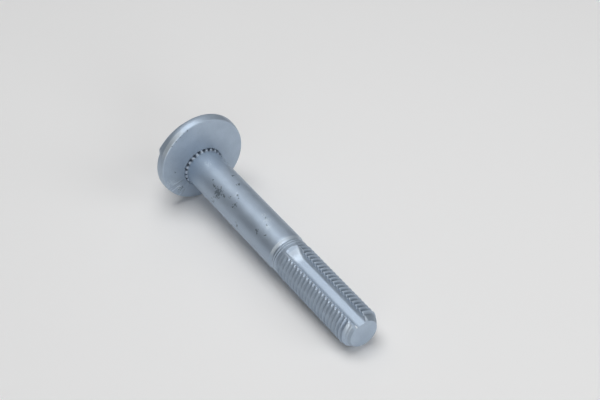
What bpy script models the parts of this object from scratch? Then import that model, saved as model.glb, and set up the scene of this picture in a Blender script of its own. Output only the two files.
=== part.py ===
"""Eccentric adjusting bolt, lying on a flat surface as it comes to rest.

Metres, +Z up. The origin is on the surface, under the middle of the part, and the tip points along +X.
Each piece is modelled upright in the bolt's own frame, with the bolt's axis on Z: the disc's bearing face
is at z = 0, the head is above it, the shank and the threaded end are below it, and the disc's wide side
is towards +X. An empty then lays the whole bolt down with the wide side up.
"""

import math

import bmesh
import bpy
from mathutils import Matrix, Vector

# Shank, from the disc's bearing face to the shoulder
SHANK_DIAMETER = 0.0120
SHANK_LENGTH = 0.0461
SHOULDER_LENGTH = 0.0014

# Neck between the shank and the thread
NECK_DEPTH = 0.00035
NECK_LENGTH = 0.0008
NECK_RISE = 0.0006

# Threaded end, from the neck's rise to the tip, with a right-handed thread
THREAD_DIAMETER = 0.0119
THREAD_LENGTH = 0.0349
THREAD_PITCH = 0.0015
THREAD_DEPTH = 0.00085
THREAD_CREST = 0.00022
THREAD_FLANK_ANGLE = math.radians(30)
THREAD_RUN_OUT = 0.0012
THREAD_TURN = math.radians(122.6)
TIP_CHAMFER_LENGTH = 0.0024
TIP_CHAMFER_DEPTH = 0.00165

# Keyway milled along the threaded end, from KEYWAY_START beyond the thread's start to the tip
KEYWAY_WIDTH = 0.0040
KEYWAY_DEPTH = 0.00195
KEYWAY_CORNER_RADIUS = 0.0013
KEYWAY_START = 0.0010
KEYWAY_CUTTER_RADIUS = 0.0080
KEYWAY_TURN = math.radians(-10)

# Hexagon head
HEAD_ACROSS_FLATS = 0.0180
HEAD_HEIGHT = 0.0080
HEAD_CHAMFER_ANGLE = math.radians(30)
HEAD_FACE_INSET = 0.0003
WASHER_FACE_HEIGHT = 0.0004
WASHER_FACE_INSET = 0.0004
HEAD_TURN = math.radians(-4)

# Serrated seat that the disc is pressed on to
SERRATION_COUNT = 23
SERRATION_RISE = 0.0003
SERRATION_ROOT_DEPTH = 0.0002
SERRATION_GAP_SHARE = 0.55
SERRATION_RUN_OUT = 0.0006
SERRATION_OVERRUN = 0.0002
SERRATION_RAMP = 0.0004
SERRATION_TURN = math.radians(-2.4)

# Eccentric disc, punched from plate: behind a small rounding, the front of its rim is drawn in on a slope
DISC_DIAMETER = 0.0285
DISC_THICKNESS = 0.0030
DISC_ECCENTRICITY = 0.0032
DISC_EDGE_RADIUS = 0.0004
DRAWN_BAND_LENGTH = 0.0015
DRAWN_BAND_SLOPE = math.radians(12)
DISC_BACK_CHAMFER = 0.0002
BORE_CHAMFER = 0.00015

# Clearance that keeps touching pieces apart, how far a cutter stands clear of what it cuts, and how far
# the neck reaches into the threaded end that is joined to it
FIT_GAP = 0.0003
CUTTER_MARGIN = 0.0010
CORE_OVERLAP = 0.0004

# Facets round a turned surface, round the thread and round a rounded edge
TURNED_STEPS = 96
THREAD_STEPS = 32
EDGE_SEGMENTS = 4
CORNER_SEGMENTS = 4
RUN_OUT_STEPS = 8
SHARP_ANGLE = math.radians(25)

# Turn of the trimming forms, so that their facets' edges don't run along those of what they trim
HALF_FACET = math.pi / TURNED_STEPS

# Where Blender puts the first corner of a cone or a prism, measured from +X
FIRST_CORNER = math.pi / 2

# Vertices nearer than this are one vertex, on the forms that go into the Booleans and on their result
MERGE_DISTANCE = 1e-6
RESULT_MERGE_DISTANCE = 5e-6

ZINC_COLOUR = (0.42, 0.47, 0.54, 1.0)
DISC_COLOUR = (0.41, 0.46, 0.54, 1.0)
METALLIC = 0.9
ROUGHNESS = 0.42

shank_radius = SHANK_DIAMETER / 2
thread_radius = THREAD_DIAMETER / 2
neck_radius = thread_radius - NECK_DEPTH
tip_radius = thread_radius - TIP_CHAMFER_DEPTH
core_radius = thread_radius - THREAD_DEPTH
seat_radius = shank_radius + SERRATION_RISE
root_radius = shank_radius - SERRATION_ROOT_DEPTH
bore_radius = seat_radius + FIT_GAP
disc_radius = DISC_DIAMETER / 2
flat_radius = HEAD_ACROSS_FLATS / 2
corner_radius = flat_radius / math.cos(math.pi / 6)

shoulder_end = -SHANK_LENGTH - SHOULDER_LENGTH
neck_end = shoulder_end - NECK_LENGTH
thread_start = neck_end - NECK_RISE
tip_end = thread_start - THREAD_LENGTH
tip_chamfer_start = tip_end + TIP_CHAMFER_LENGTH
head_base = DISC_THICKNESS + FIT_GAP
head_top = head_base + HEAD_HEIGHT


def clear_scene():
    for old in list(bpy.data.objects):
        bpy.data.objects.remove(old, do_unlink=True)


def new_collection(name):
    collection = bpy.data.collections.new(name)
    bpy.context.scene.collection.children.link(collection)
    return collection


def new_material(name, colour):
    material = bpy.data.materials.new(name)
    material.use_nodes = True
    shader = material.node_tree.nodes["Principled BSDF"]
    shader.inputs["Base Color"].default_value = colour
    shader.inputs["Metallic"].default_value = METALLIC
    shader.inputs["Roughness"].default_value = ROUGHNESS
    return material


def add_object(name, mesh, collection):
    made = bpy.data.objects.new(name, mesh)
    collection.objects.link(made)
    return made


def mesh_from(shape, name):
    """A mesh from a bmesh, which is freed."""
    bmesh.ops.recalc_face_normals(shape, faces=shape.faces)
    mesh = bpy.data.meshes.new(name)
    shape.to_mesh(mesh)
    shape.free()
    return mesh


def turned(name, profile, collection):
    """A solid of revolution about Z: profile holds (radius, z) points down the outer side, top to bottom."""
    mesh = bpy.data.meshes.new(name)
    points = [(radius, 0.0, z) for radius, z in profile]
    edges = [(i, i + 1) for i in range(len(points) - 1)]
    mesh.from_pydata(points, edges, [])
    made = add_object(name, mesh, collection)
    screw = made.modifiers.new("turn", "SCREW")
    screw.axis = "Z"
    screw.angle = 2 * math.pi
    screw.steps = TURNED_STEPS
    screw.render_steps = TURNED_STEPS
    screw.use_merge_vertices = True
    screw.merge_threshold = MERGE_DISTANCE
    screw.use_smooth_shade = True
    return made


def prism(name, sides, corner, low, high, turn, collection):
    """A regular prism about Z, from low to high, with its first corner turned from +X."""
    shape = bmesh.new()
    place = Matrix.Translation((0, 0, (low + high) / 2)) @ Matrix.Rotation(turn - FIRST_CORNER, 4, "Z")
    bmesh.ops.create_cone(
        shape,
        cap_ends=True,
        segments=sides,
        radius1=corner,
        radius2=corner,
        depth=high - low,
        matrix=place,
    )
    return add_object(name, mesh_from(shape, name), collection)


def combine(target, other, operation):
    boolean = target.modifiers.new(f"{operation.lower()} {other.name}", "BOOLEAN")
    boolean.operation = operation
    boolean.solver = "EXACT"
    boolean.object = other


def finish(made):
    """Applies the modifiers, then shades the piece smooth with its edges kept sharp."""
    weld = made.modifiers.new("merge tiny edges", "WELD")
    weld.merge_threshold = RESULT_MERGE_DISTANCE
    evaluated = made.evaluated_get(bpy.context.evaluated_depsgraph_get())
    made.data = bpy.data.meshes.new_from_object(evaluated)
    made.modifiers.clear()
    made.data.shade_smooth()
    made.data.set_sharp_from_angle(angle=SHARP_ANGLE)


def as_cutter(made):
    made.hide_render = True
    made.display_type = "WIRE"
    return made


def bolt_blank(collection):
    """Seat, shank, shoulder and neck, turned in one piece. One end is inside the head, the other in the thread."""
    return turned(
        "hex_bolt",
        [
            (0.0, head_base + HEAD_HEIGHT / 2),
            (seat_radius, head_base + HEAD_HEIGHT / 2),
            (seat_radius, -SERRATION_RUN_OUT + SERRATION_RAMP),
            (shank_radius, -SERRATION_RUN_OUT),
            (shank_radius, -SHANK_LENGTH),
            (neck_radius, shoulder_end),
            (neck_radius, neck_end - CORE_OVERLAP),
            (core_radius - CORE_OVERLAP, neck_end - CORE_OVERLAP - THREAD_RUN_OUT),
            (0.0, neck_end - CORE_OVERLAP - THREAD_RUN_OUT),
        ],
        collection,
    )


def thread_surface(collection):
    """The thread as a strip one pitch high, wound from beyond the tip to inside the shank."""
    flank = THREAD_DEPTH * math.tan(THREAD_FLANK_ANGLE)
    low = tip_end - THREAD_PITCH
    points = [
        (thread_radius, low + THREAD_PITCH),
        (thread_radius, low + THREAD_PITCH - THREAD_CREST),
        (core_radius, low + THREAD_PITCH - THREAD_CREST - flank),
        (core_radius, low + flank),
        (thread_radius, low),
    ]
    mesh = bpy.data.meshes.new("thread")
    edges = [(i, i + 1) for i in range(len(points) - 1)]
    mesh.from_pydata([(radius, 0.0, z) for radius, z in points], edges, [])
    made = add_object("thread", mesh, collection)
    screw = made.modifiers.new("wind", "SCREW")
    screw.axis = "Z"
    screw.angle = 2 * math.pi
    screw.screw_offset = THREAD_PITCH
    screw.iterations = math.ceil((shoulder_end - tip_end) / THREAD_PITCH) + 1
    screw.steps = THREAD_STEPS
    screw.render_steps = THREAD_STEPS
    weld = made.modifiers.new("join the turns", "WELD")
    weld.merge_threshold = MERGE_DISTANCE
    return made


def threaded_end(cutters):
    """A closed thread, trimmed to its run-in, its chamfer and its flat tip."""
    thread = as_cutter(thread_surface(cutters))
    shape = bmesh.new()
    shape.from_mesh(thread.evaluated_get(bpy.context.evaluated_depsgraph_get()).to_mesh())
    middle = (shoulder_end + tip_end) / 2
    rims = [edge for edge in shape.edges if edge.is_boundary]
    for end, sign in ((shoulder_end, 1), (tip_end, -1)):
        rim = [edge for edge in rims if (edge.verts[0].co.z - middle) * sign > 0]
        made = bmesh.ops.extrude_edge_only(shape, edges=rim)["geom"]
        apex = [part for part in made if isinstance(part, bmesh.types.BMVert)]
        bmesh.ops.pointmerge(shape, verts=apex, merge_co=(0, 0, end + sign * SHANK_DIAMETER))
    bmesh.ops.triangulate(shape, faces=shape.faces)
    thread.modifiers.clear()
    thread.data = mesh_from(shape, "thread")
    thread.rotation_euler.z = THREAD_TURN
    outer = thread_radius + CUTTER_MARGIN
    rise = (thread_radius - neck_radius) / NECK_RISE
    run_in = (core_radius - CORE_OVERLAP - thread_radius) / rise
    slope = TIP_CHAMFER_DEPTH / TIP_CHAMFER_LENGTH
    trim = as_cutter(
        turned(
            "thread_trim",
            [
                (0.0, thread_start - run_in),
                (core_radius - CORE_OVERLAP, thread_start - run_in),
                (outer, thread_start - CUTTER_MARGIN / rise),
                (outer, tip_chamfer_start + CUTTER_MARGIN / slope),
                (tip_radius, tip_end),
                (0.0, tip_end),
            ],
            cutters,
        )
    )
    trim.rotation_euler.z = HALF_FACET
    combine(thread, trim, "INTERSECT")
    return thread


def hexagon_head(cutters):
    """Hexagon with a chamfered top and a round washer face, both from the turned form that trims it."""
    face_radius = flat_radius - HEAD_FACE_INSET
    outer_radius = corner_radius + CUTTER_MARGIN
    washer_radius = flat_radius - WASHER_FACE_INSET
    chamfer_drop = (outer_radius - face_radius) * math.tan(HEAD_CHAMFER_ANGLE)
    trim = as_cutter(
        turned(
            "head_trim",
            [
                (0.0, head_top),
                (face_radius, head_top),
                (outer_radius, head_top - chamfer_drop),
                (outer_radius, head_base + WASHER_FACE_HEIGHT),
                (washer_radius, head_base + WASHER_FACE_HEIGHT),
                (washer_radius, head_base),
                (0.0, head_base),
            ],
            cutters,
        )
    )
    trim.rotation_euler.z = HALF_FACET
    low = head_base - CUTTER_MARGIN
    high = head_top + CUTTER_MARGIN
    head = as_cutter(prism("head_form", 6, corner_radius, low, high, HEAD_TURN, cutters))
    combine(head, trim, "INTERSECT")
    return head


def toothed_form(low, high, cutters):
    """A star-shaped prism: its valleys are the serrations' roots, and its points stand clear of the seat."""
    point_radius = root_radius + (seat_radius - root_radius) / SERRATION_GAP_SHARE
    shape = bmesh.new()
    outline = []
    for index in range(2 * SERRATION_COUNT):
        angle = SERRATION_TURN + math.pi * index / SERRATION_COUNT
        radius = root_radius if index % 2 else point_radius
        outline.append(shape.verts.new((radius * math.cos(angle), radius * math.sin(angle), low)))
    base = shape.faces.new(outline)
    made = bmesh.ops.extrude_face_region(shape, geom=[base])["geom"]
    top = [part for part in made if isinstance(part, bmesh.types.BMVert)]
    bmesh.ops.translate(shape, verts=top, vec=Vector((0, 0, high - low)))
    return point_radius, as_cutter(add_object("toothed_form", mesh_from(shape, "toothed_form"), cutters))


def serration_cutter(cutters):
    """A ring with a toothed bore, which leaves the serrations from their run-out to the disc's back."""
    low = -SERRATION_RUN_OUT - SERRATION_OVERRUN
    high = DISC_THICKNESS
    point_radius, form = toothed_form(low - CUTTER_MARGIN, high + CUTTER_MARGIN, cutters)
    outer = point_radius + CUTTER_MARGIN
    ring = as_cutter(prism("serration_cutter", TURNED_STEPS, outer, low, high, 0.0, cutters))
    combine(ring, form, "DIFFERENCE")
    return ring


def keyway_profile(outside):
    """The slot's floor as (radius, z) points from beyond the tip to where it has climbed out of the bolt.

    The floor leaves the thread's surface at the keyway's start, on the milling cutter's radius. Where the
    slot is deeper than that radius, the rest of its end is straight.
    """
    floor = thread_radius - KEYWAY_DEPTH
    start = thread_start - KEYWAY_START

    def climb(height):
        return math.acos(max(0.0, 1 - height / KEYWAY_CUTTER_RADIUS))

    full_depth = start - KEYWAY_CUTTER_RADIUS * math.sin(climb(KEYWAY_DEPTH))
    path = [(floor, tip_end - CUTTER_MARGIN)]
    for step in range(RUN_OUT_STEPS + 1):
        angle = climb(outside - floor) * step / RUN_OUT_STEPS
        radius = floor + KEYWAY_CUTTER_RADIUS * (1 - math.cos(angle))
        path.append((radius, full_depth + KEYWAY_CUTTER_RADIUS * math.sin(angle)))
    if outside - path[-1][0] > MERGE_DISTANCE:
        path.append((outside, path[-1][1]))
    return path


def keyway_cutter(cutters):
    """A slot with rounded floor corners, open at the tip, whose floor climbs out of the bolt at its other end."""
    outside = max(shank_radius, thread_radius) + CUTTER_MARGIN
    path = keyway_profile(outside)
    corner = (outside, path[0][1])
    shape = bmesh.new()
    outline = [shape.verts.new((x, -KEYWAY_WIDTH / 2, z)) for x, z in path + [corner]]
    side = shape.faces.new(outline)
    made = bmesh.ops.extrude_face_region(shape, geom=[side])["geom"]
    far_side = [part for part in made if isinstance(part, bmesh.types.BMVert)]
    bmesh.ops.translate(shape, verts=far_side, vec=Vector((0, KEYWAY_WIDTH, 0)))
    bmesh.ops.bevel(
        shape,
        geom=[edge for edge in shape.edges if is_floor_edge(edge, outside)],
        offset=KEYWAY_CORNER_RADIUS,
        segments=CORNER_SEGMENTS,
        profile=0.5,
        affect="EDGES",
    )
    cutter = add_object("keyway_cutter", mesh_from(shape, "keyway_cutter"), cutters)
    cutter.rotation_euler.z = KEYWAY_TURN
    return as_cutter(cutter)


def is_floor_edge(edge, outside):
    """Whether the edge runs along the slot's floor, on either side of it."""
    first, second = (vert.co for vert in edge.verts)
    on_one_side = abs(first.y - second.y) < MERGE_DISTANCE
    on_floor = min(first.x, second.x) < outside - MERGE_DISTANCE
    along = abs(first.z - second.z) > MERGE_DISTANCE
    return on_one_side and on_floor and along


def build_bolt(parts, cutters):
    bolt = bolt_blank(parts)
    combine(bolt, hexagon_head(cutters), "UNION")
    combine(bolt, threaded_end(cutters), "UNION")
    combine(bolt, serration_cutter(cutters), "DIFFERENCE")
    combine(bolt, keyway_cutter(cutters), "DIFFERENCE")
    bolt.data.materials.append(new_material("zinc_coated_steel", ZINC_COLOUR))
    return bolt


def disc_profile():
    """Half of the disc's section as (radius, z) points from its back to its bearing face, both ends on its axis."""
    slope = math.tan(DRAWN_BAND_SLOPE)
    arc_end = DISC_EDGE_RADIUS * (1 - math.sin(DRAWN_BAND_SLOPE))
    arc_centre = disc_radius - DISC_EDGE_RADIUS * math.cos(DRAWN_BAND_SLOPE) - slope * (DRAWN_BAND_LENGTH - arc_end)
    profile = [
        (0.0, DISC_THICKNESS),
        (disc_radius - DISC_BACK_CHAMFER, DISC_THICKNESS),
        (disc_radius, DISC_THICKNESS - DISC_BACK_CHAMFER),
        (disc_radius, DRAWN_BAND_LENGTH),
    ]
    for step in range(EDGE_SEGMENTS + 1):
        angle = DRAWN_BAND_SLOPE + (math.pi / 2 - DRAWN_BAND_SLOPE) * step / EDGE_SEGMENTS
        radius = arc_centre + DISC_EDGE_RADIUS * math.cos(angle)
        profile.append((radius, DISC_EDGE_RADIUS * (1 - math.sin(angle))))
    return profile + [(0.0, 0.0)]


def build_disc(parts, cutters):
    """Round disc whose centre stands off the bolt's axis, with a bore on that axis."""
    disc = turned("cam_disc", disc_profile(), parts)
    disc.location.x = DISC_ECCENTRICITY
    mouth = bore_radius + BORE_CHAMFER
    bore = as_cutter(
        turned(
            "bore_cutter",
            [
                (0.0, DISC_THICKNESS + CUTTER_MARGIN),
                (bore_radius, DISC_THICKNESS + CUTTER_MARGIN),
                (bore_radius, BORE_CHAMFER),
                (mouth + CUTTER_MARGIN, -CUTTER_MARGIN),
                (0.0, -CUTTER_MARGIN),
            ],
            cutters,
        )
    )
    combine(disc, bore, "DIFFERENCE")
    disc.data.materials.append(new_material("zinc_coated_disc", DISC_COLOUR))
    return disc


def lying_pose():
    """How far the axis tips, and where the bolt's own origin comes, when it lies on the disc's edge and its thread.

    The disc's narrow side is down. The head's corner carries the bolt instead where it reaches lower.
    """
    corners = [HEAD_TURN + math.pi / 3 * index for index in range(6)]
    head_reach = max(-corner_radius * math.cos(angle) for angle in corners)
    supports = [
        (disc_radius - DISC_ECCENTRICITY, DRAWN_BAND_LENGTH),
        (head_reach, head_base + WASHER_FACE_HEIGHT),
    ]
    tilt = max(
        math.atan2(reach - thread_radius, height - tip_chamfer_start)
        for reach, height in supports
    )
    rise = thread_radius * math.cos(tilt) - tip_chamfer_start * math.sin(tilt)
    face_radius = flat_radius - HEAD_FACE_INSET
    tip_reach = tip_radius * math.sin(tilt) - tip_end * math.cos(tilt)
    head_end = -face_radius * math.sin(tilt) - head_top * math.cos(tilt)
    return tilt, Vector((-(tip_reach + head_end) / 2, 0, rise))


def main():
    clear_scene()
    parts = new_collection("eccentric_bolt")
    cutters = new_collection("cutters")
    bolt = build_bolt(parts, cutters)
    disc = build_disc(parts, cutters)

    frame = bpy.data.objects.new("lying_pose", None)
    parts.objects.link(frame)
    tilt, place = lying_pose()
    frame.rotation_euler = (0, tilt - math.pi / 2, 0)
    frame.location = place
    for piece in [bolt, disc]:
        finish(piece)
    for piece in [bolt, disc, *cutters.objects]:
        piece.parent = frame


main()
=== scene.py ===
"""Looks of the eccentric adjusting bolt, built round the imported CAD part.

Each piece is made in millimetres in the bolt's own frame and then laid down as the CAD part lies. In that
frame the bolt's axis is Z, the disc's bearing face is at z = 0 with the head above it and the threaded end
below it, and the disc's wide side is towards +X. Places along the bolt are given as s, the distance from the
bearing face towards the tip. Angles round the bolt are in degrees from +X, and the keyway's left, as the
camera sees it, is at lower ones.
"""

import math

import bmesh
import bpy
import numpy as np
from mathutils import Matrix, Quaternion, Vector


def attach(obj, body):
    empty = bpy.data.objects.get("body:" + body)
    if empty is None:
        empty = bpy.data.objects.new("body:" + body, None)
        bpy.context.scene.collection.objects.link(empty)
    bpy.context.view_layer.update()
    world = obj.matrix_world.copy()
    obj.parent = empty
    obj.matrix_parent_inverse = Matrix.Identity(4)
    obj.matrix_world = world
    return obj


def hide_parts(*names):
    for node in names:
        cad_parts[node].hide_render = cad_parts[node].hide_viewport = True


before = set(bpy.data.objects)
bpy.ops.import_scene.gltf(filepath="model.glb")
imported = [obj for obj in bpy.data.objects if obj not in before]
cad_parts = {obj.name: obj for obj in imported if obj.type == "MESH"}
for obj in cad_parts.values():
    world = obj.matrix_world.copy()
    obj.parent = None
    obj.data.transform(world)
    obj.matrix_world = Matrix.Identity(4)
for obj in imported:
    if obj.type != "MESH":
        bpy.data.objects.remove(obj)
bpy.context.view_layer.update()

# Attribute with each vertex's place in the bolt's own frame
PLACE = "place"

# How the bolt lies: its tilt, and where the centre of the disc's bearing face comes, in metres
LYING_TILT = math.radians(3.520394)
BEARING_CENTRE = Vector((-0.03604651, 0.0, 0.01093704))

# The sizes are in millimetres. A pair of them is where a smooth change starts and ends.

# Shank and neck
SHANK_RADIUS = 6.0
SHANK_END = 46.1
NECK_RADIUS = 5.6
RING_CRESTS = (47.84, 48.64)
RING_ROOTS = (47.4, 48.22)
RING_HALF_WIDTH = 0.16

# Thread
THREAD_TOP = 49.05
THREAD_RADIUS = 5.95
THREAD_PITCH = 1.5
THREAD_DEPTH = 0.92
THREAD_PHASE = 51.42
THREAD_FADE = (48.4, 51.0)

# Wear to the left of the keyway: the share of the thread's depth that is gone, the distance from the
# keyway's middle where it is strongest, how it fades from there, and how it eases towards the tip
WORN_SHARE = 0.66
WORN_MIDDLE = 4.0
WORN_FADE = (1.5, 5.0)
WORN_EASED_SHARE = 0.8
WORN_EASED = (77.5, 80.5)
BEYOND_WEAR = 11.0

# Tip
TIP_CHAMFER_START = 81.4
TIP_END = 83.8
TIP_RADIUS = 4.3
TIP_ROUNDING = 0.25

# Keyway and its run-out
KEYWAY_ANGLE = -10.0
KEYWAY_HALF_WIDTH = 2.0
KEYWAY_FLOOR = 4.0
KEYWAY_FLOOR_CORNER = 1.3
KEYWAY_LIP_RADIUS = 0.2
KEYWAY_LIP_START = 5.6
KEYWAY_FULL_DEPTH = 55.3
RUN_OUT_SLOPE = 27.0
RUN_OUT_RADIUS = 7.0
RUN_OUT_CORNER = 0.3
RUN_OUT_CORNER_RISE = 1.7
RUN_OUT_FLARE = 0.4
CUTTER_MARGIN = 1.5
CUTTER_OVERLAP = 0.5
CORNER_STEPS = 8
LIP_STEPS = 6
RUN_OUT_STEPS = 8

# Lip on the keyway's left, where the valleys close and the crests are notched, by distance from its middle
LIP_RISE = (2.4, 3.1)
LIP_DROP = 0.03
LIP_NOTCH = 0.42
LIP_NOTCH_FADE = (2.4, 3.0)
LIP_NOTCH_START = (52.0, 53.5)

# The thread is flattened this far from the keyway's middle, and up to this place along the bolt
FLATTENED_BESIDE = (2.2, 3.4)
FLATTENED_END = (52.0, 54.5)

# Serrated seat. Gap sizes are shares of the teeth's pitch, and the gaps are narrower round one angle.
TEETH = 23
COLUMNS_PER_TOOTH = 8
COLUMNS = TEETH * COLUMNS_PER_TOOTH
TOOTH_RADIUS = 6.58
TOOTH_ROOT_RADIUS = 5.82
TOOTH_GAP_ANGLE = 5.4
GAP_HALF_WIDTH = 0.31
GAP_FLANK = 0.12
GAP_NARROWING = 0.15
NARROW_GAP_ANGLE = -100.0
NARROW_GAP_SPREAD = 32.0

# Disc
DISC_RADIUS = 14.25
DISC_THICKNESS = 3.0
DISC_OFFSET = 3.2
DISC_EDGE = 0.4
DISC_STEPS = 276
DRAWN_BAND = 1.5
DRAWN_SLOPE = 12.0
BACK_EDGE = 0.2
BORE_RADIUS = 6.6

# Head
HEAD_FLATS = 18.0
HEAD_BASE = 3.3
HEAD_TOP = 11.3
HEAD_TURN = -4.0
HEAD_CORNER_ROUNDING = 0.45
HEAD_CHAMFER = 30.0
HEAD_STEPS = 190
HEAD_MARGIN = 0.5

SHARP_ANGLE = 38.0
MERGE_DISTANCE = 1e-4

# Colours of the zinc coat
COAT_DEEP = (0.381, 0.461, 0.564, 1.0)
COAT_PALE = (0.437, 0.523, 0.627, 1.0)
COAT_GRAIN = (0.52, 0.60, 0.68, 1.0)
# Colour of the glints, which are painted highlights
COAT_PAINTED_GLINT = (0.62, 0.70, 0.77, 1.0)
# Pale colour of painted highlights, and of the pale scratches
COAT_PAINTED_HIGHLIGHT_AND_PALE_SCRATCH = (0.66, 0.74, 0.82, 1.0)
# Colour of the painted highlight line in the keyway's left corner
COAT_PAINTED_CORNER_HIGHLIGHT = (0.86, 0.92, 0.98, 1.0)
# Dark colour of painted shade, and of the dark scratches
COAT_PAINTED_SHADE_AND_DARK_SCRATCH = (0.24, 0.29, 0.35, 1.0)
COAT_SCUFFED = (0.13, 0.165, 0.20, 1.0)

# Marks on the shank: distance along it, angle round it, radius and strength
SHANK_SCUFFS = [
    (16.6, -49.5, 2.3, 1.1),
    (15.6, -44.0, 1.3, 0.75),
    (17.8, -44.5, 1.5, 0.8),
    (19.4, -45.8, 1.2, 0.7),
    (17.2, -58.0, 1.6, 0.7),
    (14.0, -45.8, 1.1, 0.75),
    (13.2, -43.0, 0.8, 0.6),
    (16.3, -38.0, 1.3, 0.5),
    (15.9, -70.0, 1.2, 0.6),
    (15.5, -82.8, 1.3, 0.6),
    (23.0, -13.8, 0.62, 1.3),
    (23.6, -16.5, 0.45, 0.9),
    (24.2, -19.0, 0.45, 0.8),
    (19.0, 18.0, 0.9, 0.6),
    (19.2, 12.0, 0.9, 0.7),
    (19.1, 5.0, 0.7, 0.6),
    (14.75, 20.2, 0.9, 0.7),
    (25.2, -37.0, 1.2, 0.6),
    (25.5, -43.0, 1.0, 0.65),
    (24.6, -46.0, 0.9, 0.6),
    (37.4, -44.8, 1.1, 0.75),
    (38.3, -50.0, 0.9, 0.6),
    (41.0, -36.8, 0.6, 0.8),
    (28.8, -82.0, 1.4, 0.7),
    (21.5, -33.0, 0.8, 0.55),
    (12.0, -36.0, 0.7, 0.5),
    (36.0, -2.0, 0.8, 0.45),
    (38.6, -12.0, 0.7, 0.45),
]
# The glints are painted highlights: pale spots put into the coat's colour
SHANK_GLINTS = [
    (22.4, -20.0, 1.0, 0.8),
    (22.2, -10.0, 0.8, 0.6),
    (35.0, 1.0, 1.6, 0.7),
    (37.2, -4.0, 1.8, 0.75),
    (39.5, -15.0, 1.5, 0.7),
    (16.0, -36.0, 1.2, 0.6),
    (5.6, -13.0, 2.5, 0.5),
]

# Marks on the disc: centre, radius and strength, and where its face is scratched
DISC_SCUFFS = [
    ((-4.6, -8.6, 0.0), 2.0, 0.4),
    ((2.6, -9.6, 0.0), 0.9, 0.35),
    ((16.1, -4.2, 0.1), 0.5, 0.8),
    ((15.6, -5.5, 0.1), 0.4, 0.7),
    ((14.9, -7.0, 0.1), 0.5, 0.8),
    ((13.9, -8.4, 0.1), 0.4, 0.8),
    ((12.8, -9.6, 0.1), 0.5, 0.7),
]
# The disc's glint is a painted highlight
DISC_GLINTS = [((-1.0, -11.6, 0.0), 2.5, 0.7)]
SCRATCHED_PLACE = (-4.0, -9.2, 0.0)
SCRATCHED_REACH = (1.5, 4.5)
SCRATCHES_A_RADIAN = 17.0
SCRATCHES_A_MILLIMETRE = 0.35

# How far a mark's strength is over the speckle where it starts to show and where it is full
MARK_SHOWS = (-0.12, 0.3)

# The thread's extra roughness, where its tones start, and how far they stay off the tip's flat face
THREAD_ROUGHNESS = 0.03
THREAD_TONES_START = 49.5
TIP_FACE_MARGIN = 0.06

# Camera, at the photograph's viewing angle, with its place in metres
CAMERA_PLACE = (0.24520, -0.13556, 0.24816)
CAMERA_AZIMUTH = math.radians(58.97)
CAMERA_ELEVATION = math.radians(39.17)
CAMERA_ROLL = math.radians(4.29)
CAMERA_LENS = 76.2

tooth_pitch = 360.0 / TEETH
column_shares = (np.arange(COLUMNS) + 0.5) / COLUMNS_PER_TOOTH
column_angles = TOOTH_GAP_ANGLE + tooth_pitch * column_shares

laid_down = (
    Matrix.Translation(BEARING_CENTRE)
    @ Matrix.Rotation(LYING_TILT - math.pi / 2, 4, "Y")
    @ Matrix.Scale(0.001, 4)
)


# Helpers


def smooth_step(value, low, high):
    share = np.clip((value - low) / (high - low), 0.0, 1.0)
    return share * share * (3 - 2 * share)


def turn_from(middle, angle):
    """Degrees from the middle to an angle, at most half a turn either way."""
    return np.mod(angle - middle + 180.0, 360.0) - 180.0


def add_object(name, mesh):
    made = bpy.data.objects.new(name, mesh)
    bpy.context.scene.collection.objects.link(made)
    return made


def add_mesh(name, vertices, faces, merge=0.0):
    """An object from vertices and faces, with its normals outwards and near vertices merged."""
    shape = bmesh.new()
    made = [shape.verts.new(vertex) for vertex in vertices]
    for face in faces:
        if len(set(face)) == len(face):
            shape.faces.new([made[index] for index in face])
    if merge:
        bmesh.ops.remove_doubles(shape, verts=shape.verts, dist=merge)
    bmesh.ops.recalc_face_normals(shape, faces=shape.faces)
    mesh = bpy.data.meshes.new(name)
    shape.to_mesh(mesh)
    shape.free()
    return add_object(name, mesh)


def combine(target, other, operation):
    """Applies a Boolean to the target and deletes the other shape."""
    boolean = target.modifiers.new("combine", "BOOLEAN")
    boolean.operation = operation
    boolean.solver = "EXACT"
    boolean.object = other
    evaluated = target.evaluated_get(bpy.context.evaluated_depsgraph_get())
    target.data = bpy.data.meshes.new_from_object(evaluated)
    target.modifiers.clear()
    bpy.data.objects.remove(other, do_unlink=True)


def ring_faces(low, high, count):
    """Faces between two closed rings of vertices, given by their first vertices."""
    following = [(j, (j + 1) % count) for j in range(count)]
    return [(low + j, high + j, high + k, low + k) for j, k in following]


def lathe(name, profile, steps):
    """A solid of revolution from (radius, z) points, top to bottom, that starts and ends on the axis."""
    angles = np.radians(np.arange(steps) * 360.0 / steps)
    vertices = [(0.0, 0.0, profile[0][1])]
    for radius, z in profile[1:-1]:
        vertices += [(radius * c, radius * s, z) for c, s in zip(np.cos(angles), np.sin(angles))]
    vertices.append((0.0, 0.0, profile[-1][1]))
    bottom = len(vertices) - 1
    starts = [1 + i * steps for i in range(len(profile) - 2)]
    faces = []
    for low, high in zip(starts[:-1], starts[1:]):
        faces += ring_faces(low, high, steps)
    for j in range(steps):
        k = (j + 1) % steps
        faces.append((0, 1 + j, 1 + k))
        faces.append((starts[-1] + j, bottom, starts[-1] + k))
    return add_mesh(name, vertices, faces)


# The bolt's turned and rolled body


def thread_rows():
    """(place, drop) within one pitch, from one crest to the next: how far each is below the crest."""
    half = [(0.0, 0.0), (0.07, 0.008), (0.125, 0.06), (0.31, 0.37), (0.49, 0.68), (0.57, 0.81)]
    half.append((0.66, 0.892))
    bottom = (THREAD_PITCH / 2, THREAD_DEPTH)
    mirrored = [(THREAD_PITCH - place, drop) for place, drop in reversed(half[1:])]
    return half + [bottom] + mirrored


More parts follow.
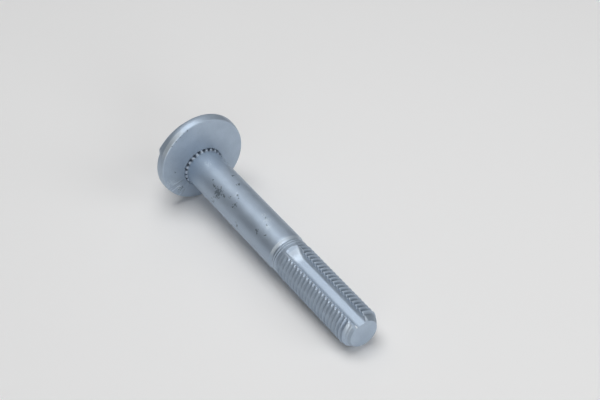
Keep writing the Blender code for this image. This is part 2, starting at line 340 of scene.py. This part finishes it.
def thread_drop(s, angle):
    """How far the full thread lies below its crests at s and an angle, both arrays."""
    rows = thread_rows() + [(THREAD_PITCH, 0.0)]
    along = np.mod(s - THREAD_PHASE + THREAD_PITCH * angle / 360.0, THREAD_PITCH)
    return np.interp(along, [place for place, _ in rows], [drop for _, drop in rows])


def across_keyway(angle):
    """Distance round the thread from the keyway's middle, negative on its left."""
    return np.radians(turn_from(KEYWAY_ANGLE, angle)) * THREAD_RADIUS


def worn_share(s, to_left):
    fade = 1 - smooth_step(np.abs(to_left - WORN_MIDDLE), *WORN_FADE)
    return WORN_SHARE * fade * (1 - WORN_EASED_SHARE * smooth_step(s, *WORN_EASED))


def body_radius(s, angle):
    """Radius of the threaded end at s and an angle, both arrays."""
    beside = across_keyway(angle)
    to_left = np.where(beside < 0, -beside, BEYOND_WEAR)
    thread = thread_drop(s, angle)
    by_run_out = (1 - smooth_step(np.abs(beside), *FLATTENED_BESIDE)) * (1 - smooth_step(s, *FLATTENED_END))
    on_lip = 1 - smooth_step(to_left, *LIP_RISE)
    notched = (1 - smooth_step(to_left, *LIP_NOTCH_FADE)) * smooth_step(s, *LIP_NOTCH_START)
    drop = thread * (1 - by_run_out) * (1 - on_lip) * (1 - worn_share(s, to_left))
    notch = LIP_NOTCH * (1 - thread / THREAD_DEPTH) * notched
    full = THREAD_RADIUS - LIP_DROP * on_lip - notch - drop
    radius = NECK_RADIUS + (full - NECK_RADIUS) * smooth_step(s, *THREAD_FADE)
    slope = (THREAD_RADIUS - TIP_RADIUS) / (TIP_END - TIP_CHAMFER_START)
    chamfer = THREAD_RADIUS - (s - TIP_CHAMFER_START) * slope
    rounding = np.maximum(TIP_ROUNDING - np.abs(radius - chamfer), 0.0)
    return np.minimum(radius, chamfer) - rounding * rounding / (4 * TIP_ROUNDING)


def helical_grid(start, end):
    """Rows of s and of radius that follow the thread, clamped at both ends, and the rows in a turn."""
    rows = thread_rows()
    first = math.floor((start - THREAD_PHASE) / THREAD_PITCH) - 1
    last = math.ceil((end - THREAD_PHASE) / THREAD_PITCH) + 2
    crests = [THREAD_PHASE + turn * THREAD_PITCH for turn in range(first, last)]
    places = np.array([crest + place for crest in crests for place, _ in rows])
    s = np.clip(places[:, None] - THREAD_PITCH * column_angles[None, :] / 360.0, start, end)
    return s, body_radius(s, column_angles[None, :]), len(rows)


def tooth_gaps(share):
    """How far each column lies in a gap, from 0 on a tooth to 1, for gaps of a share of their width."""
    if not share:
        return np.zeros(COLUMNS)
    phase = column_shares % 1.0
    from_gap = np.minimum(phase, 1.0 - phase)
    turn = turn_from(NARROW_GAP_ANGLE, column_angles)
    width = GAP_HALF_WIDTH - GAP_NARROWING * np.exp(-((turn / NARROW_GAP_SPREAD) ** 2))
    return np.clip((width * share - from_gap) / GAP_FLANK, 0.0, 1.0)


def straight_rows():
    """(s, radius, gap share) of the rings from inside the head down to the thread."""
    inside = [(-(HEAD_BASE + 2.0), 6.3, 0.0), (-3.45, 6.3, 0.0)]
    seat = [(s, TOOTH_RADIUS, 1.0) for s in (-3.35, -1.5, -0.5, -0.1)]
    seat += [(0.08, 6.56, 0.95), (0.2, 6.48, 0.9), (0.34, 6.32, 0.8), (0.48, 6.12, 0.65), (0.6, 6.02, 0.5)]
    seat += [(0.75, SHANK_RADIUS, 0.35), (0.9, SHANK_RADIUS, 0.2)]
    shank = [(s, SHANK_RADIUS) for s in np.arange(1.05, SHANK_END - 0.6, 0.9)]
    shoulder = [(-0.2, 6.0), (-0.05, 5.99), (0.04, 5.95), (0.42, 5.74), (0.8, 5.52), (0.95, 5.48)]
    shoulder = [(SHANK_END + past, radius) for past, radius in shoulder]
    neck = [(47.25, 5.46), (47.42, 5.47), (47.58, 5.56), (47.74, 5.74), (47.84, 5.78), (47.96, 5.72)]
    neck += [(48.1, 5.52), (48.24, 5.5), (48.38, 5.58), (48.54, 5.76), (48.66, 5.8), (48.8, 5.72)]
    neck.append((48.95, 5.58))
    return inside + seat + [(s, radius, 0.0) for s, radius in shank + shoulder + neck]


def bolt_body():
    """Seat with teeth, shank, neck and thread as one closed grid."""
    angles = np.radians(column_angles)
    vertices, faces = [], []

    def add_ring(s, radius):
        first = len(vertices)
        vertices.extend(zip(radius * np.cos(angles), radius * np.sin(angles), -s))
        return first

    starts = []
    for s, radius, share in straight_rows():
        depth = (radius - TOOTH_ROOT_RADIUS) * math.sqrt(share)
        starts.append(add_ring(np.full(COLUMNS, s), radius - depth * tooth_gaps(share)))
    # The last of the straight rings is the thread's first, so that the two grids join
    top = np.full(COLUMNS, THREAD_TOP)
    starts.append(add_ring(top, body_radius(top, column_angles)))
    for low, high in zip(starts[:-1], starts[1:]):
        faces += ring_faces(low, high, COLUMNS)
    faces.append(tuple(starts[0] + j for j in range(COLUMNS)))

    s_grid, radius_grid, rows_a_turn = helical_grid(THREAD_TOP, TIP_END)
    rows = [add_ring(s, radius) for s, radius in zip(s_grid, radius_grid)]
    for i in range(len(rows) - 1):
        low, high = rows[i], rows[i + 1]
        for j in range(COLUMNS - 1):
            faces.append((low + j, high + j, high + j + 1, low + j + 1))
        # The last column meets the first one a turn earlier
        over, under = rows[max(i - rows_a_turn, 0)], rows[max(i + 1 - rows_a_turn, 0)]
        faces.append((low + COLUMNS - 1, high + COLUMNS - 1, under, over))
    edge = add_ring(np.full(COLUMNS, TIP_END), np.full(COLUMNS, TIP_RADIUS))
    faces.append(tuple(edge + j for j in reversed(range(COLUMNS))))
    return add_mesh("bolt_steel", vertices, faces, merge=MERGE_DISTANCE)


# The keyway


def keyway_floors():
    """(s, floor radius) of the cutter's sections: a level floor, a bend, and a ramp out of the bolt."""
    slope = math.radians(RUN_OUT_SLOPE)
    floors = [(TIP_END + 1.0, KEYWAY_FLOOR), (KEYWAY_FULL_DEPTH, KEYWAY_FLOOR)]
    for step in range(1, RUN_OUT_STEPS + 1):
        turn = slope * step / RUN_OUT_STEPS
        climb = RUN_OUT_RADIUS * (1 - math.cos(turn))
        floors.append((KEYWAY_FULL_DEPTH - RUN_OUT_RADIUS * math.sin(turn), KEYWAY_FLOOR + climb))
    s, floor = floors[-1]
    rise = (THREAD_RADIUS + CUTTER_MARGIN - floor) / RUN_OUT_STEPS
    for step in range(1, RUN_OUT_STEPS + 1):
        floors.append((s - rise * step / math.tan(slope), floor + rise * step))
    return floors


def keyway_section(floor):
    """(x, y) outline of the cutter above a floor radius, with rounded floor corners and lips."""
    half, lip = KEYWAY_HALF_WIDTH, KEYWAY_LIP_RADIUS
    climbed = min((floor - KEYWAY_FLOOR) / RUN_OUT_CORNER_RISE, 1.0)
    corner = KEYWAY_FLOOR_CORNER + (RUN_OUT_CORNER - KEYWAY_FLOOR_CORNER) * climbed
    points = [(floor, 0.0), (floor, (half - corner) / 2), (floor, half - corner)]
    for step in range(1, CORNER_STEPS + 1):
        turn = math.pi / 2 * step / CORNER_STEPS
        points.append((floor + corner * (1 - math.cos(turn)), half - corner + corner * math.sin(turn)))
    points.append((max(floor + corner + 0.02, KEYWAY_LIP_START), half))
    for step in range(1, LIP_STEPS + 1):
        turn = math.pi / 2 * step / LIP_STEPS
        points.append((KEYWAY_LIP_START + lip * math.sin(turn), half + lip * (1 - math.cos(turn))))
    wide = half + lip + CUTTER_OVERLAP
    points += [(KEYWAY_LIP_START + lip + 0.05, wide), (THREAD_RADIUS + CUTTER_MARGIN + 1.0, wide)]
    points = [(max(x, floor), y) for x, y in points]
    left = [(x, -y) for x, y in reversed(points[1:])]
    return left + [(x, y * (1 + RUN_OUT_FLARE * climbed / half)) for x, y in points]


def keyway_cutter():
    """The slot's form as a loft of sections."""
    floors = keyway_floors()
    vertices = []
    for s, floor in floors:
        vertices += [(x, y, -s) for x, y in keyway_section(floor)]
    size = len(vertices) // len(floors)
    faces = [tuple(range(size)), tuple(reversed(range(len(vertices) - size, len(vertices))))]
    for i in range(len(floors) - 1):
        faces += ring_faces(i * size, (i + 1) * size, size)
    cutter = add_mesh("keyway_cutter", vertices, faces)
    cutter.rotation_euler.z = math.radians(KEYWAY_ANGLE)
    return cutter


# Head and disc


def hexagon_head():
    """Hexagon trimmed by a solid of revolution to a chamfered top and a washer face."""
    flat = HEAD_FLATS / 2
    corner = flat / math.cos(math.pi / 6)
    depth = HEAD_TOP - HEAD_BASE + 2 * HEAD_MARGIN
    turn = Matrix.Rotation(math.radians(HEAD_TURN - 90), 4, "Z")
    place = Matrix.Translation((0, 0, (HEAD_BASE + HEAD_TOP) / 2)) @ turn
    shape = bmesh.new()
    bmesh.ops.create_cone(
        shape, cap_ends=True, segments=6, radius1=corner, radius2=corner, depth=depth, matrix=place
    )
    uprights = [edge for edge in shape.edges if abs(edge.verts[0].co.z - edge.verts[1].co.z) > 1.0]
    bmesh.ops.bevel(
        shape, geom=uprights, offset=HEAD_CORNER_ROUNDING, segments=4, profile=0.5, affect="EDGES"
    )
    mesh = bpy.data.meshes.new("head")
    shape.to_mesh(mesh)
    shape.free()
    head = add_object("head", mesh)
    face, reach, washer = flat - 0.3, corner + HEAD_MARGIN, flat - 0.4
    drop = (reach - face) * math.tan(math.radians(HEAD_CHAMFER))
    profile = [
        (0.0, HEAD_TOP),
        (face - 0.3, HEAD_TOP),
        (face - 0.1, HEAD_TOP - 0.02),
        (face + 0.1, HEAD_TOP - 0.1),
        (reach, HEAD_TOP - drop),
        (reach, HEAD_BASE + 0.4),
        (washer + 0.12, HEAD_BASE + 0.4),
        (washer, HEAD_BASE + 0.3),
        (washer - 0.03, HEAD_BASE + 0.08),
        (washer - 0.12, HEAD_BASE),
        (0.0, HEAD_BASE),
    ]
    combine(head, lathe("trim", profile, HEAD_STEPS), "INTERSECT")
    return head


def disc_rim():
    """(radius, z) from the front rounding over the drawn-in band to the back edge."""
    slope = math.radians(DRAWN_SLOPE)
    arc_end = DISC_EDGE * (1 - math.sin(slope))
    arc_centre = DISC_RADIUS - DISC_EDGE * math.cos(slope) - math.tan(slope) * (DRAWN_BAND - arc_end)
    arc = np.linspace(math.pi / 2, slope, 8)
    rim = [(arc_centre + DISC_EDGE * math.cos(turn), DISC_EDGE * (1 - math.sin(turn))) for turn in arc]
    rim += [(DISC_RADIUS - math.tan(slope) * (DRAWN_BAND - z), z) for z in (0.7, 1.1, 1.35)]
    rim += [(DISC_RADIUS - 0.012, DRAWN_BAND), (DISC_RADIUS, DRAWN_BAND + 0.08), (DISC_RADIUS, 2.1)]
    rim += [(DISC_RADIUS, DISC_THICKNESS - BACK_EDGE), (DISC_RADIUS - 0.06, DISC_THICKNESS - 0.06)]
    return rim + [(DISC_RADIUS - BACK_EDGE, DISC_THICKNESS)]


def cam_disc():
    """Disc as a loft from the bore's circle, on the bolt's axis, to its rim's circle, off it."""
    bore = [(BORE_RADIUS, 0.15), (BORE_RADIUS + 0.05, 0.05), (BORE_RADIUS + 0.15, 0.0)]
    bore_back = [(BORE_RADIUS + 0.1, DISC_THICKNESS), (BORE_RADIUS, DISC_THICKNESS - 0.1)]
    # One more circle on each face keeps the faces between bore and rim even
    between = (DISC_RADIUS * 0.8, DISC_OFFSET * 0.85)
    loops = [(radius, 0.0, z) for radius, z in bore]
    loops += [(*between, 0.0)]
    loops += [(radius, DISC_OFFSET, z) for radius, z in disc_rim()]
    loops += [(*between, DISC_THICKNESS)]
    loops += [(radius, 0.0, z) for radius, z in bore_back]
    angles = np.radians(np.arange(DISC_STEPS) * 360.0 / DISC_STEPS)
    vertices, faces = [], []
    for i, (radius, centre, z) in enumerate(loops):
        vertices += [(centre + radius * c, radius * s, z) for c, s in zip(np.cos(angles), np.sin(angles))]
        faces += ring_faces(i * DISC_STEPS, (i + 1) % len(loops) * DISC_STEPS, DISC_STEPS)
    return add_mesh("cam_disc_steel", vertices, faces)


def build_pieces():
    body = bolt_body()
    combine(body, hexagon_head(), "UNION")
    combine(body, keyway_cutter(), "DIFFERENCE")
    disc = cam_disc()
    for piece in (body, disc):
        place = piece.data.attributes.new(PLACE, "FLOAT_VECTOR", "POINT")
        place.data.foreach_set("vector", [value for vertex in piece.data.vertices for value in vertex.co])
        piece.data.transform(laid_down)
        piece.data.shade_smooth()
        piece.data.set_sharp_from_angle(angle=math.radians(SHARP_ANGLE))
    return body, disc


# Materials


class Coat:
    """Nodes of one zinc coat, placed in the bolt's own frame, which each mesh keeps as an attribute."""

    def __init__(self, name):
        self.material = bpy.data.materials.new(name)
        self.material.use_nodes = True
        self.tree = self.material.node_tree
        self.shader = self.tree.nodes["Principled BSDF"]
        attribute = self.tree.nodes.new("ShaderNodeAttribute")
        attribute.attribute_name = PLACE
        self.place = attribute.outputs["Vector"]
        parts = self.tree.nodes.new("ShaderNodeSeparateXYZ")
        self.connect(self.place, parts.inputs[0])
        self.x, self.y, self.z = parts.outputs
        self.radius = self.length(self.x, self.y)

    def connect(self, value, socket):
        if isinstance(value, bpy.types.NodeSocket):
            self.tree.links.new(value, socket)
        else:
            socket.default_value = value

    def maths(self, operation, first, second=0.0):
        node = self.tree.nodes.new("ShaderNodeMath")
        node.operation = operation
        self.connect(first, node.inputs[0])
        self.connect(second, node.inputs[1])
        return node.outputs[0]

    def length(self, first, second):
        squares = [self.maths("MULTIPLY", side, side) for side in (first, second)]
        return self.maths("SQRT", self.maths("ADD", *squares))

    def distance(self, centre):
        node = self.tree.nodes.new("ShaderNodeVectorMath")
        node.operation = "DISTANCE"
        self.connect(self.place, node.inputs[0])
        node.inputs[1].default_value = centre
        return node.outputs["Value"]

    def noise_at(self, vector, detail):
        node = self.tree.nodes.new("ShaderNodeTexNoise")
        self.connect(vector, node.inputs["Vector"])
        node.inputs["Scale"].default_value = 1.0
        node.inputs["Detail"].default_value = detail
        return node.outputs[0]

    def noise(self, factors, detail, offset=(0.0, 0.0, 0.0)):
        """Noise about 0.5, with its cycles a millimetre along each axis."""
        node = self.tree.nodes.new("ShaderNodeMapping")
        self.connect(self.place, node.inputs["Vector"])
        node.inputs["Location"].default_value = offset
        node.inputs["Scale"].default_value = factors
        return self.noise_at(node.outputs[0], detail)

    def mixed(self, factor, first, second):
        node = self.tree.nodes.new("ShaderNodeMix")
        node.data_type = "RGBA"
        self.connect(factor, node.inputs["Factor"])
        self.connect(first, node.inputs["A"])
        self.connect(second, node.inputs["B"])
        return node.outputs["Result"]

    def ranged(self, value, low, high, to_low=0.0, to_high=1.0):
        """A smooth change from one number to another while the value goes from low to high."""
        node = self.tree.nodes.new("ShaderNodeMapRange")
        node.interpolation_type = "SMOOTHSTEP"
        self.connect(value, node.inputs["Value"])
        node.inputs["From Min"].default_value = low
        node.inputs["From Max"].default_value = high
        node.inputs["To Min"].default_value = to_low
        node.inputs["To Max"].default_value = to_high
        return node.outputs["Result"]

    def falling(self, value, low, high):
        return self.ranged(value, low, high, 1.0, 0.0)

    def band(self, value, low, high, soft):
        """1 between low and high, with soft ends, and 0 beyond."""
        rise = self.ranged(value, low - soft, low + soft)
        return self.maths("MULTIPLY", rise, self.falling(value, high - soft, high + soft))

    def along(self, start, end, soft):
        """1 between two places along the bolt, with soft ends."""
        return self.band(self.z, -end, -start, soft)

    def past(self, start, end):
        """0 before the first of two places along the bolt and 1 past the second."""
        return self.falling(self.z, -end, -start)

    def before(self, start, end):
        """1 before the first of two places along the bolt and 0 past the second."""
        return self.ranged(self.z, -end, -start)

    def all_of(self, first, *others):
        for other in others:
            first = self.maths("MULTIPLY", first, other)
        return first

    def marks(self, places, speckle):
        """Marks (centre, radius, strength) that are dense in the middle and break up into specks outside."""
        total = 0.0
        for centre, radius, strength in places:
            mark = self.ranged(self.distance(centre), 0.0, radius, strength, 0.0)
            total = self.maths("MAXIMUM", mark, total)
        return self.ranged(self.maths("SUBTRACT", total, speckle), *MARK_SHOWS)

    def scratches(self):
        """Pale and dark fine lines that run outwards from the bolt's axis, round one place on the disc."""
        node = self.tree.nodes.new("ShaderNodeCombineXYZ")
        around, outwards = self.maths("ARCTAN2", self.y, self.x), self.distance((0.0, 0.0, 0.0))
        self.connect(self.maths("MULTIPLY", around, SCRATCHES_A_RADIAN), node.inputs[0])
        self.connect(self.maths("MULTIPLY", outwards, SCRATCHES_A_MILLIMETRE), node.inputs[1])
        lines = self.noise_at(node.outputs[0], 2.0)
        near = self.falling(self.distance(SCRATCHED_PLACE), *SCRATCHED_REACH)
        pale = self.maths("MULTIPLY", self.ranged(lines, 0.52, 0.68), near)
        dark = self.maths("MULTIPLY", self.falling(lines, 0.32, 0.48), near)
        return [(pale, 0.8, COAT_PAINTED_HIGHLIGHT_AND_PALE_SCRATCH), (dark, 0.7, COAT_PAINTED_SHADE_AND_DARK_SCRATCH)]


# Places of painted light are lists of (mask, share, colour), with painted highlights on cut and rolled faces
# and painted shade in recesses


def on_thread(coat):
    """1 from the thread's start to just before the tip's flat face."""
    return coat.along(THREAD_TONES_START, TIP_END - TIP_FACE_MARGIN, TIP_FACE_MARGIN)


def seat_places(coat):
    # Painted shade round the seat's teeth, where the disc meets the bolt
    seat = coat.all_of(coat.along(0.0, 0.6, 0.1), coat.falling(coat.radius, 6.9, 7.1))
    return [(seat, 0.3, COAT_PAINTED_SHADE_AND_DARK_SCRATCH)]


def disc_places(coat):
    """The front band gets a painted highlight where it looks up and to the camera's left."""
    from_centre = coat.maths("SUBTRACT", coat.x, DISC_OFFSET)
    painted_front_band_sheen = coat.all_of(
        coat.ranged(coat.length(from_centre, coat.y), 13.7, 13.9),
        coat.falling(coat.z, 1.4, 1.6),
        coat.ranged(from_centre, 5.0, 8.0),
        coat.falling(coat.y, -8.0, -4.0),
    )
    return [(painted_front_band_sheen, 0.9, COAT_PAINTED_HIGHLIGHT_AND_PALE_SCRATCH)] + seat_places(coat)


def neck_places(coat):
    on_surface = coat.ranged(coat.radius, 5.3, 5.45)
    # Painted highlight on one side of the shoulder
    shoulder = coat.all_of(
        coat.along(SHANK_END + 0.02, SHANK_END + 0.9, 0.06),
        on_surface,
        coat.ranged(coat.x, 1.8, 3.6),
        coat.ranged(coat.y, -2.7, -1.2, 1.0, 0.5),
    )
    found = [(shoulder, 1.0, COAT_PAINTED_HIGHLIGHT_AND_PALE_SCRATCH)]
    # Painted highlights on the rings' crests and painted shade in their roots
    shares = (0.3, 0.35, 0.5, 0.45)
    colours = (COAT_PAINTED_HIGHLIGHT_AND_PALE_SCRATCH, COAT_PAINTED_HIGHLIGHT_AND_PALE_SCRATCH, COAT_PAINTED_SHADE_AND_DARK_SCRATCH, COAT_PAINTED_SHADE_AND_DARK_SCRATCH)
    for place, share, colour in zip(RING_CRESTS + RING_ROOTS, shares, colours):
        ring = coat.along(place - RING_HALF_WIDTH, place + RING_HALF_WIDTH, RING_HALF_WIDTH / 2)
        ring = coat.maths("MULTIPLY", ring, on_surface)
        found.append((ring, share, colour))
    return found


def keyway_places(coat, out, across):
    """Painted highlights on the ramp of the run-out and on the right wall."""
    on_top = coat.ranged(out, 2.0, 2.5)
    ramp = coat.all_of(
        coat.band(across, -KEYWAY_HALF_WIDTH, KEYWAY_HALF_WIDTH + RUN_OUT_FLARE, 0.08),
        on_top,
        coat.past(50.8, 51.2),
        coat.before(53.0, 56.0),
    )
    wall = coat.all_of(
        coat.band(across, 1.0, 2.3, 0.3), on_top, coat.past(51.0, 52.0), coat.ranged(coat.radius, 4.3, 4.6)
    )
    return [(ramp, 0.35, COAT_PAINTED_HIGHLIGHT_AND_PALE_SCRATCH), (wall, 0.5, COAT_PAINTED_HIGHLIGHT_AND_PALE_SCRATCH)]


def thread_places(coat, threaded, across):
    """Crests and the lip get painted highlights, and the valleys to the right of the keyway and the left
    side get painted shade.
    """
    crest = coat.all_of(threaded, coat.ranged(coat.radius, 5.84, 5.93), coat.before(81.0, 81.5))
    lip = coat.all_of(crest, coat.band(across, -3.0, -2.1, 0.1), coat.past(52.5, 54.0))
    valley = coat.all_of(threaded, coat.ranged(across, 2.1, 2.4), coat.falling(coat.radius, 5.25, 5.85))
    left = coat.all_of(threaded, coat.falling(across, -5.2, -3.2), coat.before(80.8, TIP_CHAMFER_START))
    paler = [(crest, 0.1, COAT_PAINTED_HIGHLIGHT_AND_PALE_SCRATCH), (lip, 0.6, COAT_PAINTED_HIGHLIGHT_AND_PALE_SCRATCH)]
    return paler + [(valley, 0.7, COAT_PAINTED_SHADE_AND_DARK_SCRATCH), (left, 0.3, COAT_PAINTED_SHADE_AND_DARK_SCRATCH)]


def tip_places(coat, across):
    """Painted highlight on the chamfer to the left of the keyway, painted shade on the tip's edge there, and
    a painted highlight line in the keyway's left corner.
    """
    left = coat.falling(across, -2.6, -2.2)
    chamfer = coat.all_of(coat.along(81.5, 82.95, 0.2), left, coat.ranged(across, -5.4, -2.8))
    edge = coat.all_of(coat.along(83.0, 83.72, 0.06), left)
    painted_corner_highlight = coat.all_of(
        coat.band(across, -1.72, -1.4, 0.06), coat.past(82.8, 83.3), coat.band(coat.radius, 4.15, 5.0, 0.1)
    )
    return [(chamfer, 0.7, COAT_PAINTED_HIGHLIGHT_AND_PALE_SCRATCH), (edge, 0.3, COAT_PAINTED_SHADE_AND_DARK_SCRATCH), (painted_corner_highlight, 1.0, COAT_PAINTED_CORNER_HIGHLIGHT)]


def bolt_places(coat):
    turn = math.radians(KEYWAY_ANGLE)
    cosine, sine = math.cos(turn), math.sin(turn)
    out = coat.maths("ADD", coat.maths("MULTIPLY", coat.x, cosine), coat.maths("MULTIPLY", coat.y, sine))
    across = coat.maths(
        "SUBTRACT", coat.maths("MULTIPLY", coat.y, cosine), coat.maths("MULTIPLY", coat.x, sine)
    )
    threaded = on_thread(coat)
    found = seat_places(coat) + neck_places(coat) + keyway_places(coat, out, across)
    return found + thread_places(coat, threaded, across) + tip_places(coat, across)


def zinc_coat(name, painted_light_places, scuffs, glints, thread_roughness=0.0):
    """Satin blue-grey zinc with blotches and grain in tone and gloss, painted highlights and shade at given
    places, painted glints, and scuffs.
    """
    coat = Coat(name)
    blotch = coat.noise((0.22, 0.22, 0.16), 3.0)
    grain = coat.noise((2.6, 2.6, 2.2), 3.0, (3.1, 7.7, 1.3))
    speckle = coat.ranged(coat.noise((2.1, 2.1, 1.7), 3.0, (9.4, 2.2, 5.8)), 0.36, 0.64, 0.05, 0.9)
    tone = coat.mixed(coat.ranged(blotch, 0.3, 0.7), COAT_DEEP, COAT_PALE)
    tone = coat.mixed(coat.ranged(grain, 0.3, 0.7, 0.0, 0.16), tone, COAT_GRAIN)
    scuffed = coat.maths("MULTIPLY", coat.marks(scuffs, speckle), 0.85)
    # The place lists paint highlights and shade and the glints are painted highlights; the scratches and
    # scuffs are marks on the coat
    layers = painted_light_places(coat) + coat.scratches()
    layers += [(coat.marks(glints, speckle), 0.5, COAT_PAINTED_GLINT), (scuffed, 1.0, COAT_SCUFFED)]
    for mask, share, colour in layers:
        tone = coat.mixed(coat.maths("MULTIPLY", mask, share), tone, colour)
    coat.connect(tone, coat.shader.inputs["Base Color"])
    coat.shader.inputs["Metallic"].default_value = 0.65
    rough = coat.ranged(blotch, 0.3, 0.7, 0.45, 0.51)
    rough = coat.maths("ADD", rough, coat.maths("MULTIPLY", scuffed, 0.2))
    if thread_roughness:
        rough = coat.maths("ADD", rough, coat.maths("MULTIPLY", on_thread(coat), thread_roughness))
    coat.connect(rough, coat.shader.inputs["Roughness"])
    bump = coat.tree.nodes.new("ShaderNodeBump")
    bump.inputs["Strength"].default_value = 0.25
    bump.inputs["Distance"].default_value = 0.00006
    coat.connect(coat.maths("SUBTRACT", coat.ranged(grain, 0.2, 0.8), scuffed), bump.inputs["Height"])
    coat.connect(bump.outputs["Normal"], coat.shader.inputs["Normal"])
    return coat.material


def on_shank(marks):
    """Marks on the shank with their distance and angle made into a centre."""
    placed = []
    for s, angle, radius, strength in marks:
        turn = math.radians(angle)
        placed.append(((SHANK_RADIUS * math.cos(turn), SHANK_RADIUS * math.sin(turn), -s), radius, strength))
    return placed


# Floor, light and camera


def add_floor():
    floor = add_mesh("floor", [(-2, -2, 0), (2, -2, 0), (2, 2, 0), (-2, 2, 0)], [(0, 1, 2, 3)])
    material = bpy.data.materials.new("pale_floor")
    material.use_nodes = True
    shader = material.node_tree.nodes["Principled BSDF"]
    shader.inputs["Base Color"].default_value = (0.9, 0.9, 0.9, 1.0)
    shader.inputs["Roughness"].default_value = 0.9
    shader.inputs["Specular IOR Level"].default_value = 0.0
    floor.data.materials.append(material)


def add_light(name, place, size, energy):
    """A round softbox, aimed at the middle of the floor."""
    light = bpy.data.lights.new(name, "AREA")
    light.shape = "DISK"
    light.size = size
    light.energy = energy
    made = add_object(name, light)
    made.location = place
    made.rotation_euler = (-Vector(place)).to_track_quat("-Z", "Y").to_euler()


def add_world():
    world = bpy.data.worlds.new("studio")
    bpy.context.scene.world = world
    world.use_nodes = True
    background = world.node_tree.nodes["Background"]
    background.inputs["Color"].default_value = (1.0, 1.0, 1.0, 1.0)
    background.inputs["Strength"].default_value = 0.05


def add_camera():
    camera = bpy.data.cameras.new("camera")
    camera.sensor_width = 36.0
    camera.lens = CAMERA_LENS
    made = add_object("camera", camera)
    level = math.cos(CAMERA_ELEVATION)
    back = Vector(
        (math.sin(CAMERA_AZIMUTH) * level, -math.cos(CAMERA_AZIMUTH) * level, math.sin(CAMERA_ELEVATION))
    )
    made.rotation_mode = "QUATERNION"
    made.rotation_quaternion = (-back).to_track_quat("-Z", "Y") @ Quaternion((0, 0, 1), -CAMERA_ROLL)
    made.location = CAMERA_PLACE
    bpy.context.scene.camera = made


bolt, disc = build_pieces()
shank_scuffs, shank_glints = on_shank(SHANK_SCUFFS), on_shank(SHANK_GLINTS)
bolt_look = zinc_coat("zinc_coated_steel_look", bolt_places, shank_scuffs, shank_glints, THREAD_ROUGHNESS)
bolt.data.materials.clear()
bolt.data.materials.append(bolt_look)
disc.data.materials.append(zinc_coat("zinc_coated_disc_look", disc_places, DISC_SCUFFS, DISC_GLINTS))
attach(bolt, "root")
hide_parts("hex_bolt")
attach(disc, "root")
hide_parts("cam_disc")

add_floor()
add_light("top_softbox", (-0.05, 0.0, 0.7), 0.6, 2.90)
add_light("left_softbox", (-0.45, -0.1, 0.65), 0.5, 0.52)
add_light("right_softbox", (0.55, 0.35, 0.4), 0.45, 1.05)
add_light("low_softbox", (0.75, -0.1, 0.2), 0.4, 1.65)
add_light("front_softbox", (0.49, -0.49, 0.28), 0.4, 0.45)
add_light("back_softbox", (-0.47, 0.395, 0.43), 0.4, 0.25)
add_world()
add_camera()
bpy.context.scene.view_settings.view_transform = "Standard"
